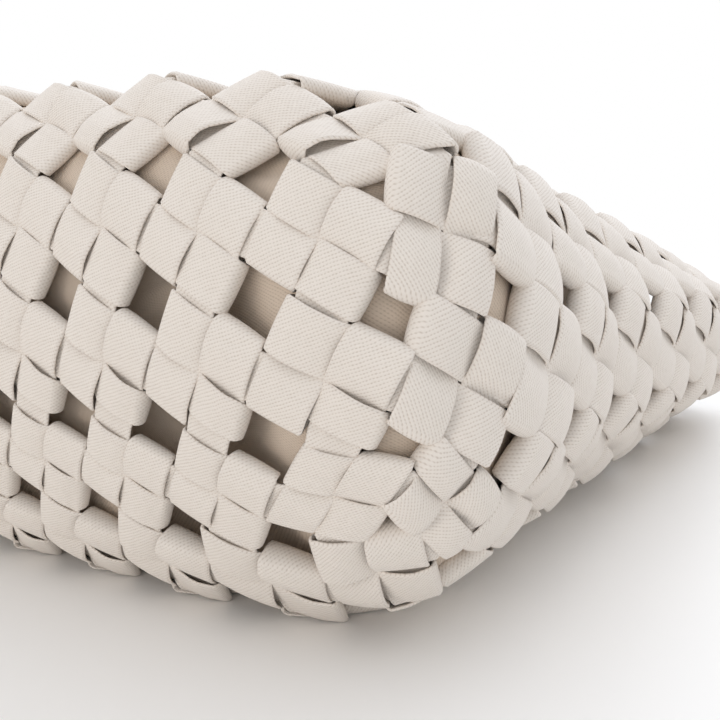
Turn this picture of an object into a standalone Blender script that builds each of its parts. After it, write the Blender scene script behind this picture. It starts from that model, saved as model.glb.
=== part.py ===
"""Plaited cloth-tape tote with a loose inner pouch, lying on its back panel.

Every tape is plaited in fold-over knots. One knot is a block of two by two cells, and the
blocks share square openings at their corners. The bag is therefore laid out as a net of
four-sided blocks whose corner points are the openings, and each tape runs through its blocks
from edge to edge: under its neighbour, over, folded round behind the block, over again and
under. X runs along the bag's length, Y from its bottom to its mouth, and Z is up.
"""

import math

import bmesh
import bpy
import numpy as np
from mathutils import Matrix, Vector

# Tape
TAPE_WIDTH = 0.015
TAPE_THICKNESS = 0.0004
PITCH = TAPE_WIDTH * math.sqrt(5.0)

# Knots along the bottom, across it, and up the walls
COLUMNS = 7
ROWS = 3
RINGS = 7
AROUND = 2 * (COLUMNS + ROWS)

# Bag form, in pitches
FLAT_COLUMNS = 2.803
COLUMN_STEP = 0.950
END_TURN = 0.567
UPPER_SIDE_TURN = 0.809
LOWER_SIDE_TURN = 0.659
BOTTOM_DEPTH = 0.909
END_RADIUS = 1.434
END_RADIUS_AT_MOUTH = 1.352
HALF_THICKNESS = 2.108
HALF_THICKNESS_AT_MOUTH = 0.976
FIRST_RING_TURN = 0.136
FIRST_RING_WIDENING = -0.013
RING_STEP = 1.137
LOWER_CORNER_LIFT = 0.232
UPPER_CORNER_DROP = 0.085

# How far the soft edges of the bottom settle: the upper corners sag, the lower edge bulges
# forward, and the lower corners and the ends draw in
UPPER_CORNER_SAG = 0.0070
UPPER_EDGE_SAG = 0.0040
LOWER_EDGE_BULGE = 0.0090
LOWER_WALL_BULGE = 0.0040
LOWER_CORNER_DRAW = 0.0060
LOWER_CORNER_RISE = 0.0040
END_DRAW = 0.0050

# A tape's lane through a knot and the place of its fold, in shares of the block's two sides
LANE_AHEAD = 0.4
LANE_RIGHT = 0.2
FOLD_AHEAD = 0.3
FOLD_RIGHT = 0.4

# Depth of a knot, from the middle of its block
OVER = 0.0034
BEHIND = 0.0035
FAR_BEHIND = 0.0043

# Share of its block that a knot fills, and share of the tape's width at each of its places
KNOT_FILL = 0.90
FOLD_HALF = 0.5 * KNOT_FILL
PASS_HALF = 0.19
BACK_HALF = 0.30
END_TUCK = 0.0070

# Hoops whose folds are pressed flat where the bag lies on them
PRESSED_HOOPS = (2, 6)
PRESSED_OVER = 0.0041
PRESS_START = 0.80
PRESS_FLAT = 0.87

# Inner pouch
POUCH_INSET = 0.0105
POUCH_THICKNESS = 0.0008
POUCH_TOP_RING = 4.6
POUCH_BULGE = 0.25

# Rim binding: a folded band with an open channel for the tape ends
RIM_THICKNESS = 0.0008
RIM_CHANNEL = 0.0038
RIM_ABOVE_EDGE = 0.0026
RIM_HEIGHT = 0.0100

# Handles and the folded ends that hold them
HANDLE_WIDTH = 0.0150
HANDLE_THICKNESS = 0.0026
HANDLE_LEG = 0.050
HANDLE_BOW = 0.060
HANDLE_BOW_POINTS = 15
HANDLE_COLUMNS = 1.5
SADDLE_THICKNESS = 0.0008
SADDLE_GAP = 0.0003
SADDLE_DEPTH = 0.0085
PIVOT_AHEAD = 0.0020
PIVOT_OUTSIDE = 0.0060
FLOOR_GAP = 0.0003

# The lowest folds lie on the floor
LIFT = PRESSED_OVER + TAPE_THICKNESS / 2

# Points along a rounded corner of a ring, and the difference below which two heights are equal
CORNER_SAMPLES = 60
SAME_HEIGHT = 0.000001

UP = Vector((0.0, 0.0, 1.0))
MOUTH = Vector((0.0, 1.0, 0.0))


def clear_scene():
    for item in list(bpy.data.objects):
        bpy.data.objects.remove(item, do_unlink=True)


def cloth(name, colour, roughness):
    material = bpy.data.materials.new(name)
    material.use_nodes = True
    shader = material.node_tree.nodes["Principled BSDF"]
    shader.inputs["Base Color"].default_value = (*colour, 1.0)
    shader.inputs["Roughness"].default_value = roughness
    shader.inputs["Metallic"].default_value = 0.0
    return material


def add_object(name, data, material, collection):
    made = bpy.data.objects.new(name, data)
    collection.objects.link(made)
    data.materials.append(material)
    return made


def bottom_point(along, across, inset=0.0):
    """Point of the rounded bottom panel, from knots counted from its middle."""
    flat = max(-FLAT_COLUMNS, min(FLAT_COLUMNS, along))
    turned = (along - flat) / (COLUMNS / 2 - FLAT_COLUMNS) * END_TURN
    side = UPPER_SIDE_TURN if across > 0 else LOWER_SIDE_TURN
    tilt = across / (ROWS / 2) * side
    way = Vector((math.tan(turned), -1.0, math.tan(tilt))).normalized()
    x = flat * COLUMN_STEP * PITCH + (END_RADIUS * PITCH - inset) * way.x
    y = (BOTTOM_DEPTH * PITCH - inset) * way.y
    z = HALF_THICKNESS * PITCH + (HALF_THICKNESS * PITCH - inset) * way.z
    if abs(along) == COLUMNS / 2 and abs(across) == ROWS / 2:
        z -= (UPPER_CORNER_DROP if across > 0 else -LOWER_CORNER_LIFT) * PITCH
    return Vector((x, y, z + LIFT))


def ring_section(level):
    """Half flat length, end radius, half thickness and distance from the bottom of one ring."""
    share = (level - 1) / (RINGS - 1)
    turn = FIRST_RING_TURN * max(0.0, 2.0 - level)
    half = HALF_THICKNESS * math.cos(turn) * (1 - share) + HALF_THICKNESS_AT_MOUTH * share
    end = END_RADIUS * math.cos(turn) * (1 - share) + END_RADIUS_AT_MOUTH * share
    y = (level - 1) * RING_STEP - BOTTOM_DEPTH * math.sin(turn)
    quarter = np.linspace(0.0, math.pi / 2, CORNER_SAMPLES)
    steps = np.hypot(np.diff(end * np.cos(quarter)), np.diff(half * np.sin(quarter)))
    slack = (AROUND - 4 * steps.sum()) / 4
    first = FLAT_COLUMNS * COLUMN_STEP + FIRST_RING_WIDENING
    flat = first + (slack - first) * min(1.0, (level - 1) / 2)
    return flat * PITCH, end * PITCH, half * PITCH, y * PITCH


def ring_outline(level, inset=0.0):
    """Closed outline of a ring, from the middle of the right end round over the top."""
    flat, end, half, y = ring_section(level)
    quarter = np.linspace(0.0, math.pi / 2, CORNER_SAMPLES)
    x = np.append(flat + (end - inset) * np.cos(quarter), 0.0)
    z = np.append((half - inset) * np.sin(quarter), half - inset)
    x = np.concatenate([x, -x[-2::-1], -x[1:], x[-2::-1]])
    z = np.concatenate([z, z[-2::-1], -z[1:], -z[-2::-1]])
    return x, z + half + LIFT, y


def ring_points(level, count=AROUND, inset=0.0):
    """Points spaced evenly along a ring's outline, half a step off the middle of the right end."""
    x, z, y = ring_outline(level, inset)
    run = np.concatenate([[0.0], np.cumsum(np.hypot(np.diff(x), np.diff(z)))])
    at = (np.arange(count) + 0.5) / count * run[-1]
    return [Vector((a, y, b)) for a, b in zip(np.interp(at, run, x), np.interp(at, run, z))]


def bottom_grid(inset=0.0):
    return [
        [bottom_point(a - COLUMNS / 2, b - ROWS / 2, inset) for b in range(ROWS + 1)]
        for a in range(COLUMNS + 1)
    ]


def edge_of_bottom():
    """The bottom panel's edge points as (column, row), in the order of ring_points."""
    upper_right = [(COLUMNS, b) for b in range(ROWS // 2 + 1, ROWS + 1)]
    top = [(a, ROWS) for a in range(COLUMNS - 1, -1, -1)]
    left = [(0, b) for b in range(ROWS - 1, -1, -1)]
    under = [(a, 0) for a in range(1, COLUMNS + 1)]
    lower_right = [(COLUMNS, b) for b in range(1, ROWS // 2 + 1)]
    return upper_right + top + left + under + lower_right


def settled_points(levels, inset=0.0, bulging=1.0):
    """Grid of the bottom and rings of the walls at the given levels, with their edges settled."""
    bottom = bottom_grid(inset)
    rings = [[bottom[a][b] for a, b in edge_of_bottom()]]
    rings += [ring_points(level, inset=inset) for level in levels]
    for place, (column, row) in enumerate(edge_of_bottom()):
        edge, first, second = (ring[place] for ring in rings[:3])
        hand = math.copysign(1.0, column - COLUMNS / 2)
        if row == ROWS and column in (1, COLUMNS - 1):
            edge.z -= UPPER_EDGE_SAG
            first.z -= UPPER_CORNER_SAG
        elif row == 0 and 1 < column < COLUMNS - 1:
            first.y -= bulging * LOWER_EDGE_BULGE
            second.y -= bulging * LOWER_WALL_BULGE
        elif row == 0 and column in (0, COLUMNS):
            first.x -= hand * LOWER_CORNER_DRAW
            first.z += LOWER_CORNER_RISE
        elif 0 < row < ROWS:
            first.x -= hand * END_DRAW
    return bottom, rings


class Net:
    """The openings of the bag: the grid of the bottom panel and the rings of the walls."""

    def __init__(self):
        self.bottom, self.rings = settled_points(range(1, RINGS + 1))

    def bottom_across(self, column, row):
        """Block of the bottom, entered from its upper edge."""
        grid = self.bottom
        enter = (grid[column + 1][row + 1], grid[column][row + 1])
        leave = (grid[column + 1][row], grid[column][row])
        return Block(*enter, *leave)

    def bottom_along(self, column, row):
        """Block of the bottom, entered from its left edge."""
        grid = self.bottom
        enter = (grid[column][row + 1], grid[column][row])
        leave = (grid[column + 1][row + 1], grid[column + 1][row])
        return Block(*enter, *leave)

    def wall_up(self, ring, place):
        """Block of a wall, entered from the bottom side."""
        low, high = self.rings[ring - 1], self.rings[ring]
        after = (place + 1) % AROUND
        return Block(low[after], low[place], high[after], high[place])

    def wall_round(self, ring, place):
        """Block of a wall, entered from the side of the place before it."""
        low, high = self.rings[ring - 1], self.rings[ring]
        after = (place + 1) % AROUND
        return Block(low[place], high[place], low[after], high[after])


class Block:
    """One knot: where a tape enters and leaves it, and its own three directions."""

    def __init__(self, enter_left, enter_right, leave_left, leave_right):
        self.corners = (enter_left, enter_right, leave_left, leave_right)
        self.enter = (enter_left + enter_right) / 2
        self.leave = (leave_left + leave_right) / 2
        self.middle = (self.enter + self.leave) / 2
        self.ahead = self.leave - self.enter
        self.right = (enter_right + leave_right) / 2 - (enter_left + leave_left) / 2
        self.out = self.right.cross(self.ahead).normalized()
        self.along = LANE_AHEAD * self.ahead + LANE_RIGHT * self.right
        self.across = LANE_AHEAD * self.right - LANE_RIGHT * self.ahead

    def turned_back(self):
        """The same knot, entered from the other side."""
        a, b, c, d = self.corners
        return Block(d, c, b, a)

    def lies_on_floor(self):
        return all(abs(corner.z - LIFT) < SAME_HEIGHT for corner in self.corners)


def knot_path(block, far, pressed):
    """Places of a tape within one knot, as (point, half of its width)."""
    depth = FAR_BEHIND if far else BEHIND
    fold = KNOT_FILL * (FOLD_AHEAD * block.ahead + FOLD_RIGHT * block.right)
    wide = FOLD_HALF * block.across
    narrow = BACK_HALF * block.across
    path = []
    for side in (1, -1):
        place = block.middle + side * fold
        front = [(place + OVER * block.out, wide)]
        if pressed:
            front = []
            for reach, rise in (
                (PRESS_START, PRESS_START * OVER),
                (PRESS_FLAT, PRESSED_OVER),
                (1.0, PRESSED_OVER),
            ):
                back = side * (1.0 - reach) * block.along
                front.append((place - back + rise * block.out, wide))
        behind = [(place - depth * block.out, narrow)]
        path += front + behind if side > 0 else behind + front[::-1]
    return path


def crossing(before, after):
    """Place where a tape passes from one knot to the next, under its neighbours."""
    out = (before.out + after.out).normalized()
    return before.leave - OVER * out, PASS_HALF * (before.across + after.across) / 2


def tape_path(blocks, far, closed, pressed=False):
    """The whole run of one tape. far says for each knot whether it goes furthest behind."""
    first, last = blocks[0], blocks[-1]
    path = []
    if not closed:
        start = first.enter - OVER * first.out
        tuck = END_TUCK * MOUTH
        path = [(start + tuck, PASS_HALF * first.across), (start, PASS_HALF * first.across)]
    for number, block in enumerate(blocks):
        path += knot_path(block, far[number], pressed and block.lies_on_floor())
        if block is not last:
            path.append(crossing(block, blocks[number + 1]))
    if closed:
        return path + [crossing(last, first)]
    end = last.leave - OVER * last.out
    return path + [(end, PASS_HALF * last.across), (end + tuck, PASS_HALF * last.across)]


def strip_mesh(name, path, closed):
    """Open ribbon along a path."""
    mesh = bmesh.new()
    pairs = []
    for point, half in path:
        left = mesh.verts.new(point - half)
        right = mesh.verts.new(point + half)
        pairs.append((left, right))
    count = len(pairs) if closed else len(pairs) - 1
    for number in range(count):
        a, b = pairs[number]
        c, d = pairs[(number + 1) % len(pairs)]
        mesh.faces.new((a, b, d, c))
    bmesh.ops.recalc_face_normals(mesh, faces=mesh.faces)
    data = bpy.data.meshes.new(name)
    mesh.to_mesh(data)
    mesh.free()
    return data


def thicken(made, thickness):
    solid = made.modifiers.new("Thickness", "SOLIDIFY")
    solid.thickness = thickness
    solid.offset = 0.0
    solid.solidify_mode = "NON_MANIFOLD"
    solid.nonmanifold_thickness_mode = "CONSTRAINTS"


def add_tape(name, path, closed, material, collection):
    made = add_object(name, strip_mesh(name, path, closed), material, collection)
    thicken(made, TAPE_THICKNESS)
    return made


def upper_place(column):
    """Number of the ring step above a column of the upper wall."""
    return ROWS // 2 + COLUMNS - 1 - column


def lower_place(column):
    """Number of the ring step below a column of the lower wall."""
    return ROWS // 2 + COLUMNS + ROWS + column


def right_place(row):
    """Number of the ring step on the right end beside a row of the bottom."""
    return (row - ROWS // 2 - 1) % AROUND


def left_place(row):
    """Number of the ring step on the left end beside a row of the bottom."""
    return ROWS // 2 + COLUMNS + ROWS - 1 - row


def cross_tape(net, column, material, collection):
    """Tape from the front rim, across the bottom, to the back rim."""
    down = [net.wall_up(ring, upper_place(column)) for ring in range(RINGS, 0, -1)]
    blocks = [block.turned_back() for block in down]
    blocks += [net.bottom_across(column, row) for row in range(ROWS - 1, -1, -1)]
    blocks += [net.wall_up(ring, lower_place(column)) for ring in range(1, RINGS + 1)]
    walls = [True] * RINGS
    path = tape_path(blocks, walls + [False] * ROWS + walls, closed=False)
    add_tape(f"cross_tape_{column + 1}", path, False, material, collection)


def long_tape(net, row, material, collection):
    """Tape from the left rim, along the bottom, to the right rim."""
    down = [net.wall_up(ring, left_place(row)) for ring in range(RINGS, 0, -1)]
    blocks = [block.turned_back() for block in down]
    blocks += [net.bottom_along(column, row) for column in range(COLUMNS)]
    blocks += [net.wall_up(ring, right_place(row)) for ring in range(1, RINGS + 1)]
    path = tape_path(blocks, [True] * len(blocks), closed=False)
    add_tape(f"long_tape_{row + 1}", path, False, material, collection)


def hoop_tape(net, ring, material, collection):
    """Closed tape round the walls."""
    blocks = [net.wall_round(ring, place) for place in range(AROUND)]
    path = tape_path(blocks, [False] * AROUND, closed=True, pressed=ring in PRESSED_HOOPS)
    add_tape(f"hoop_tape_{ring}", path, True, material, collection)


def inner_pouch(material, collection):
    """Cloth pouch that lies inside, a little smaller than the bag and lower than its rim."""
    mesh = bmesh.new()
    bottom, walls = settled_points((1, 2, 3, 4, POUCH_TOP_RING), POUCH_INSET, POUCH_BULGE)
    grid = [[mesh.verts.new(point) for point in line] for line in bottom]
    rings = [[grid[a][b] for a, b in edge_of_bottom()]]
    rings += [[mesh.verts.new(point) for point in line] for line in walls[1:]]
    for a in range(COLUMNS):
        for b in range(ROWS):
            mesh.faces.new((grid[a][b], grid[a + 1][b], grid[a + 1][b + 1], grid[a][b + 1]))
    for low, high in zip(rings, rings[1:]):
        for place in range(AROUND):
            after = (place + 1) % AROUND
            mesh.faces.new((low[place], low[after], high[after], high[place]))
    bmesh.ops.recalc_face_normals(mesh, faces=mesh.faces)
    data = bpy.data.meshes.new("inner_pouch")
    mesh.to_mesh(data)
    mesh.free()
    thicken(add_object("inner_pouch", data, material, collection), POUCH_THICKNESS)


def rim_top():
    return ring_section(RINGS)[3] + RIM_ABOVE_EDGE + RIM_HEIGHT + RIM_THICKNESS / 2


def rim_binding(material, collection):
    """Band folded over the mouth, with its two flaps on either side of the tape ends."""
    edge = ring_section(RINGS)[3]
    outer = OVER - RIM_CHANNEL / 2
    inner = OVER + RIM_CHANNEL / 2
    low = edge + RIM_ABOVE_EDGE
    high = low + RIM_HEIGHT
    profile = [(outer, low), (outer, high), (inner, high), (inner, low)]
    mesh = bmesh.new()
    lines = []
    for inset, y in profile:
        line = ring_points(RINGS, inset=inset)
        lines.append([mesh.verts.new((point.x, y, point.z)) for point in line])
    for one, two in zip(lines, lines[1:]):
        for place in range(AROUND):
            after = (place + 1) % AROUND
            mesh.faces.new((one[place], one[after], two[after], two[place]))
    bmesh.ops.recalc_face_normals(mesh, faces=mesh.faces)
    data = bpy.data.meshes.new("rim_binding")
    mesh.to_mesh(data)
    mesh.free()
    thicken(add_object("rim_binding", data, material, collection), RIM_THICKNESS)


def handle_half_spacing():
    """Distance from the middle of the bag to a handle's leg, between two columns."""
    line = ring_points(RINGS)
    step = line[upper_place(0) - 1].x - line[upper_place(0)].x
    return abs(HANDLE_COLUMNS * step)


def rim_middle(front):
    """Height of the middle of the rim's channel on the front or the back panel."""
    half = ring_section(RINGS)[2]
    return LIFT + (2 * half - OVER if front else OVER)


def handle_pivot(front):
    """Point on the line where a handle bends, just outside the rim."""
    out = PIVOT_OUTSIDE if front else -PIVOT_OUTSIDE
    return Vector((0.0, saddle_top() + PIVOT_AHEAD, rim_middle(front) + out))


def handle_droop(front):
    """Angle at which a handle lies: the back one flat, the front one down to the floor."""
    if not front:
        return 0.0
    reach = HANDLE_LEG + HANDLE_BOW + HANDLE_WIDTH / 2
    fall = handle_pivot(True).z - HANDLE_THICKNESS / 2 - FLOOR_GAP
    return -math.asin(fall / reach)


def handle(name, front, material, collection):
    """Flat strap bent into a bow, from one end of its bending line to the other."""
    half = handle_half_spacing()
    side = Vector((HANDLE_WIDTH / 2, 0.0, 0.0))
    path = [(Vector((-half, 0.0, 0.0)), side)]
    for number in range(HANDLE_BOW_POINTS):
        angle = math.pi * (1 - number / (HANDLE_BOW_POINTS - 1))
        place = (half * math.cos(angle), HANDLE_LEG + HANDLE_BOW * math.sin(angle), 0.0)
        ahead = Vector((half * math.sin(angle), -HANDLE_BOW * math.cos(angle), 0.0))
        across = ahead.cross(UP).normalized()
        path.append((Vector(place), across * HANDLE_WIDTH / 2))
    path.append((Vector((half, 0.0, 0.0)), -side))
    made = add_object(name, strip_mesh(name, path, False), material, collection)
    thicken(made, HANDLE_THICKNESS)
    made.location = handle_pivot(front)
    made.rotation_euler = (handle_droop(front), 0.0, 0.0)
    return made


def saddle_top():
    return rim_top() + SADDLE_GAP + SADDLE_THICKNESS


def handle_end(name, front, side, material, collection):
    """Tape folded over the rim and sewn through it, where one end of a handle is held."""
    out = RIM_CHANNEL / 2 + RIM_THICKNESS / 2 + SADDLE_GAP + SADDLE_THICKNESS / 2
    top = saddle_top() - SADDLE_THICKNESS / 2
    profile = [(top - SADDLE_DEPTH, -out), (top, -out), (top, out), (top - SADDLE_DEPTH, out)]
    middle = rim_middle(front)
    wide = Vector((TAPE_WIDTH / 2, 0.0, 0.0))
    x = side * handle_half_spacing()
    path = [(Vector((x, y, middle + z)), wide) for y, z in profile]
    made = add_object(name, strip_mesh(name, path, False), material, collection)
    thicken(made, SADDLE_THICKNESS)
    return made


def centre_on_floor(made):
    """Puts the middle of the finished bag's length over the origin."""
    bpy.context.view_layer.update()
    places = [item.matrix_world @ Vector(corner) for item in made for corner in item.bound_box]
    low = min(place.y for place in places)
    high = max(place.y for place in places)
    shift = Matrix.Translation((0.0, -(low + high) / 2, 0.0))
    for item in made:
        item.matrix_world = shift @ item.matrix_world
    return -(low + high) / 2


def build():
    clear_scene()
    collection = bpy.data.collections.new("plaited_tape_tote")
    bpy.context.scene.collection.children.link(collection)
    tape = cloth("unbleached_canvas_tape", (0.70, 0.65, 0.60), 0.85)
    binding = cloth("canvas_binding", (0.71, 0.66, 0.61), 0.85)
    strap = cloth("canvas_handle", (0.69, 0.64, 0.59), 0.85)
    calico = cloth("calico_pouch", (0.58, 0.51, 0.45), 0.9)

    net = Net()
    for column in range(COLUMNS):
        cross_tape(net, column, tape, collection)
    for row in range(ROWS):
        long_tape(net, row, tape, collection)
    for ring in range(1, RINGS + 1):
        hoop_tape(net, ring, tape, collection)
    inner_pouch(calico, collection)
    rim_binding(binding, collection)
    for panel, front in (("front", True), ("back", False)):
        handle(f"{panel}_handle", front, strap, collection)
        for hand, side in (("left", -1), ("right", 1)):
            handle_end(f"{panel}_handle_{hand}_end", front, side, binding, collection)
    shift = centre_on_floor(list(collection.objects))
    for panel, front in (("front", True), ("back", False)):
        pivot = handle_pivot(front)
        print(f"{panel} handle bends at y {pivot.y + shift:.5f}, z {pivot.z:.5f}")


build()
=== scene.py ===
# %% [markdown]
# # A bag plaited from cloth tape
#
# The bag is plaited by hand from flat canvas tape. Each knot is a block of two by two cells:
# two tapes cross, fold round behind the block and cross again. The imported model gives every
# piece its place. Here the tapes become woven cloth, and the rest gets its folds and stitches.

# %% Load the frame
import math

import bmesh
import bpy
import numpy as np
from mathutils import Matrix, Vector, noise


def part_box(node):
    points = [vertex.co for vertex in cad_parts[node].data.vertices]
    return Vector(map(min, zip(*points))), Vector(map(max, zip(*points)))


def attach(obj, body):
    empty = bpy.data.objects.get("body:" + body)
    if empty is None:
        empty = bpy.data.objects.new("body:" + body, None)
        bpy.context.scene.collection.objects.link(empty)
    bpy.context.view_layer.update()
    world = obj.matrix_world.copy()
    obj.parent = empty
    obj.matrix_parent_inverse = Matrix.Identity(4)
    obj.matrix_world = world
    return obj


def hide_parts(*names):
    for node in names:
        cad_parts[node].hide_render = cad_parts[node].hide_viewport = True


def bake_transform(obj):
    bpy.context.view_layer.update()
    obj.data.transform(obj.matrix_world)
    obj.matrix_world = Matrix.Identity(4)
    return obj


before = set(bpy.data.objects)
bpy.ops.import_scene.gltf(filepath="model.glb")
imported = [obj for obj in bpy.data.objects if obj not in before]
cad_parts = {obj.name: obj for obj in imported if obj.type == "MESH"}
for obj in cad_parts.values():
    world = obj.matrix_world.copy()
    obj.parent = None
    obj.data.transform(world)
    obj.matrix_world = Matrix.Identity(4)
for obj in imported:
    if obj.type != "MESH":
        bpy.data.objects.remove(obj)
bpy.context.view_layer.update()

# %% [markdown]
# ## Sizes
#
# The solids were built from these sizes. The bag is a net of blocks whose corners are the
# openings, so a few numbers place every knot. Lengths without MM are in knot pitches, and turns
# in radians.

# %% Sizes of the tape and of the net
MM = 0.001
TAPE_WIDTH = 15 * MM
PITCH = TAPE_WIDTH * math.sqrt(5)
COLUMNS, ROWS, RINGS = 7, 3, 7
AROUND = 2 * (COLUMNS + ROWS)

FLAT_COLUMNS, COLUMN_STEP = 2.803, 0.950
END_TURN, UPPER_SIDE_TURN, LOWER_SIDE_TURN = 0.567, 0.809, 0.659
BOTTOM_DEPTH = 0.909
END_RADIUS, END_RADIUS_AT_MOUTH = 1.434, 1.352
HALF_THICKNESS, HALF_THICKNESS_AT_MOUTH = 2.108, 0.976
FIRST_RING_TURN, FIRST_RING_WIDENING = 0.136, -0.013
RING_STEP = 1.137
LOWER_CORNER_LIFT, UPPER_CORNER_DROP = 0.232, 0.085
LIFT = 4.3 * MM
RIM_TOP_ABOVE_EDGE = 13.0 * MM

edge_y = (RINGS - 1) * RING_STEP * PITCH
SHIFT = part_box("rim_binding")[1].y - RIM_TOP_ABOVE_EDGE - edge_y
print(f"knot pitch {PITCH / MM:.2f} mm, shift along the bag {SHIFT / MM:.2f} mm")

# %% [markdown]
# ## Camera
#
# The camera stands close to the bottom right corner of the bag and looks along it to its mouth.
# Its place was fitted to the centres of the knots.

# %% Camera
CAMERA_AT = (6.002, -5.444, 3.534)
YAW, PITCH_DOWN, ROLL = math.radians(-31.61), math.radians(-12.8), math.radians(-3.11)
FOCAL_PX, IMAGE_PX, SENSOR_MM = 860.8, 720, 36.0
NEAREST_SEEN = 10 * MM


def add_object(name, data):
    """An object in the scene that carries a camera, a mesh or a lamp."""
    made = bpy.data.objects.new(name, data)
    bpy.context.scene.collection.objects.link(made)
    return made


forward = Vector((
    math.sin(YAW) * math.cos(PITCH_DOWN),
    math.cos(YAW) * math.cos(PITCH_DOWN),
    math.sin(PITCH_DOWN),
))
level = Vector((math.cos(YAW), -math.sin(YAW), 0))
upright = level.cross(forward)
right = level * math.cos(ROLL) + upright * math.sin(ROLL)
up = upright * math.cos(ROLL) - level * math.sin(ROLL)

lens = bpy.data.cameras.new("camera")
lens.sensor_width = SENSOR_MM
lens.lens = SENSOR_MM * FOCAL_PX / IMAGE_PX
lens.clip_start = NEAREST_SEEN
camera = add_object("camera", lens)
place = Vector(CAMERA_AT) * PITCH + Vector((0, SHIFT, LIFT))
camera.matrix_world = Matrix.Translation(place) @ Matrix((right, up, -forward)).transposed().to_4x4()
bpy.context.scene.camera = camera
print("camera at", [round(c, 3) for c in place], "lens", round(lens.lens, 1), "mm")

# %% [markdown]
# ## Small helpers for materials
#
# Colours are written as picked from a screen, and one function makes them linear. Another adds a
# node with its settings and links. A node given for a socket is linked by its first output.

# %% Colour and node helpers
def linear(code):
    """Linear colour from an sRGB hex code."""
    parts = [int(code[i:i + 2], 16) / 255 for i in (1, 3, 5)]
    return [c / 12.92 if c <= 0.04045 else ((c + 0.055) / 1.055) ** 2.4 for c in parts] + [1.0]


def node(tree, kind, **given):
    """Adds a node or fills one in. Lower-case names are settings, others sockets: Base_Color, or _0."""
    made = tree.nodes.new("ShaderNode" + kind) if isinstance(kind, str) else kind
    for key, value in given.items():
        if key.islower():
            setattr(made, key, value)
            continue
        socket = made.inputs[int(key[1:]) if key[1:].isdigit() else key.replace("_", " ")]
        if isinstance(value, bpy.types.Node):
            value = value.outputs[0]
        if isinstance(value, bpy.types.NodeSocket):
            tree.links.new(value, socket)
        else:
            socket.default_value = value
    return made


def new_material(name):
    """A new material, its node tree and its shader."""
    made = bpy.data.materials.new(name)
    made.use_nodes = True
    return made, made.node_tree, made.node_tree.nodes["Principled BSDF"]


print("a middle grey is", round(linear("#808080")[0], 3), "in linear light")

# %% [markdown]
# ## Canvas tape
#
# The tape is woven cotton canvas, unbleached. In the photograph its weave shows as fine diagonal
# ridges, about twelve across the tape, so one every 1.2 mm. Yarns could be modelled, but bump
# and a little colour are enough at this size. The UV map holds millimetres. A strong wave makes
# the ridges, a weaker one across it breaks them into yarns, and noise makes them uneven.

# %% Canvas material
RIDGE_MM = 1.2
RIDGE_SHARE, CROSSING_SHARE = 0.72, 0.28
WEAVE_DEPTH = 0.09 * MM
# Spots of noise in a millimetre of tape: thick places in a yarn, loose fibres, and its wander.
SLUBS_PER_MM, FIBRES_PER_MM, WANDERS_PER_MM = 0.55, 2.4, 0.32
# How far a yarn wanders, in millimetres along and across the tape.
YARN_WANDER = (0.5, 0.5, 0)
FIBRE_HEIGHT, SLUB_SHADE = 0.5, 0.7
DARKEST_UP_TO = 0.25


def canvas(name, warp, shade, depth=WEAVE_DEPTH):
    """Woven cotton: matt, with raised yarn crossings, slightly uneven yarns and painted shade in the
    furrows.
    """
    made, tree, shader = new_material(name)
    flat = node(tree, "UVMap", uv_map="tape_mm")
    wander = node(tree, "TexNoise", Vector=flat, Scale=WANDERS_PER_MM, Detail=2.0).outputs["Color"]
    place = node(tree, "VectorMath", operation="MULTIPLY_ADD", _0=wander, _1=YARN_WANDER, _2=flat)
    apart = node(tree, "SeparateXYZ", Vector=place).outputs
    sum_ab = node(tree, "Math", operation="ADD", _0=apart[0], _1=apart[1])
    gap_ab = node(tree, "Math", operation="SUBTRACT", _0=apart[0], _1=apart[1])
    turn = 2 * math.pi / RIDGE_MM
    waves = []
    for line, share in ((sum_ab, RIDGE_SHARE), (gap_ab, CROSSING_SHARE)):
        angle = node(tree, "Math", operation="MULTIPLY", _0=line, _1=turn)
        wave = node(tree, "Math", operation="SINE", _0=angle)
        waves.append(node(tree, "Math", operation="MULTIPLY", _0=wave, _1=share))
    weave = node(tree, "Math", operation="ADD", _0=waves[0], _1=waves[1])
    slub = node(tree, "TexNoise", Vector=place, Scale=SLUBS_PER_MM, Detail=3.0)
    fibre = node(tree, "TexNoise", Vector=place, Scale=FIBRES_PER_MM, Detail=2.0)
    # The ridge is 1 - (1 - tone) squared: round on top, with narrow dark furrows.
    tone = node(tree, "MapRange", Value=weave, From_Min=-1.0, From_Max=1.0)
    rest = node(tree, "Math", operation="SUBTRACT", _0=2.0, _1=tone)
    ridge = node(tree, "Math", operation="MULTIPLY", _0=tone, _1=rest)
    height = node(tree, "Math", operation="MULTIPLY_ADD", _0=fibre, _1=FIBRE_HEIGHT, _2=ridge)
    mixed = node(tree, "Math", operation="MULTIPLY_ADD", _0=slub, _1=SLUB_SHADE, _2=ridge)
    # The ramp paints shade into the furrows, and the slub noise gives the yarns an uneven tone.
    ramp = node(tree, "ValToRGB", Fac=mixed)
    ramp.color_ramp.elements[0].position = DARKEST_UP_TO
    ramp.color_ramp.elements[0].color = linear(shade)
    ramp.color_ramp.elements[1].color = linear(warp)
    bump = node(tree, "Bump", Height=height, Strength=1.0, Distance=depth)
    node(tree, shader, Base_Color=ramp, Normal=bump, Roughness=0.88, IOR=1.5)
    node(tree, shader, Specular_IOR_Level=0.2, Sheen_Weight=0.15)
    return made


# Unbleached cotton reads as a warm off-white. The binding and the handles are a touch darker.
tape_cloth = canvas("unbleached_cotton_canvas_tape", "#E9E1D8", "#CFC3B7")
binding_cloth = canvas("cotton_canvas_binding", "#E6DDD3", "#CCBFB2")
strap_cloth = canvas("cotton_canvas_handle", "#E5DCD1", "#C9BCAE")
print("canvas materials made, ridges", RIDGE_MM, "mm apart")

# %% [markdown]
# ## The net of knots
#
# The bottom panel is a rounded grid and the walls are rings. The points of this net are the
# openings of the plait, and the knots lie between them.

# %% Points of the net
QUARTER = np.linspace(0, math.pi / 2, 60)
EASED_RINGS = 2


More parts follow.
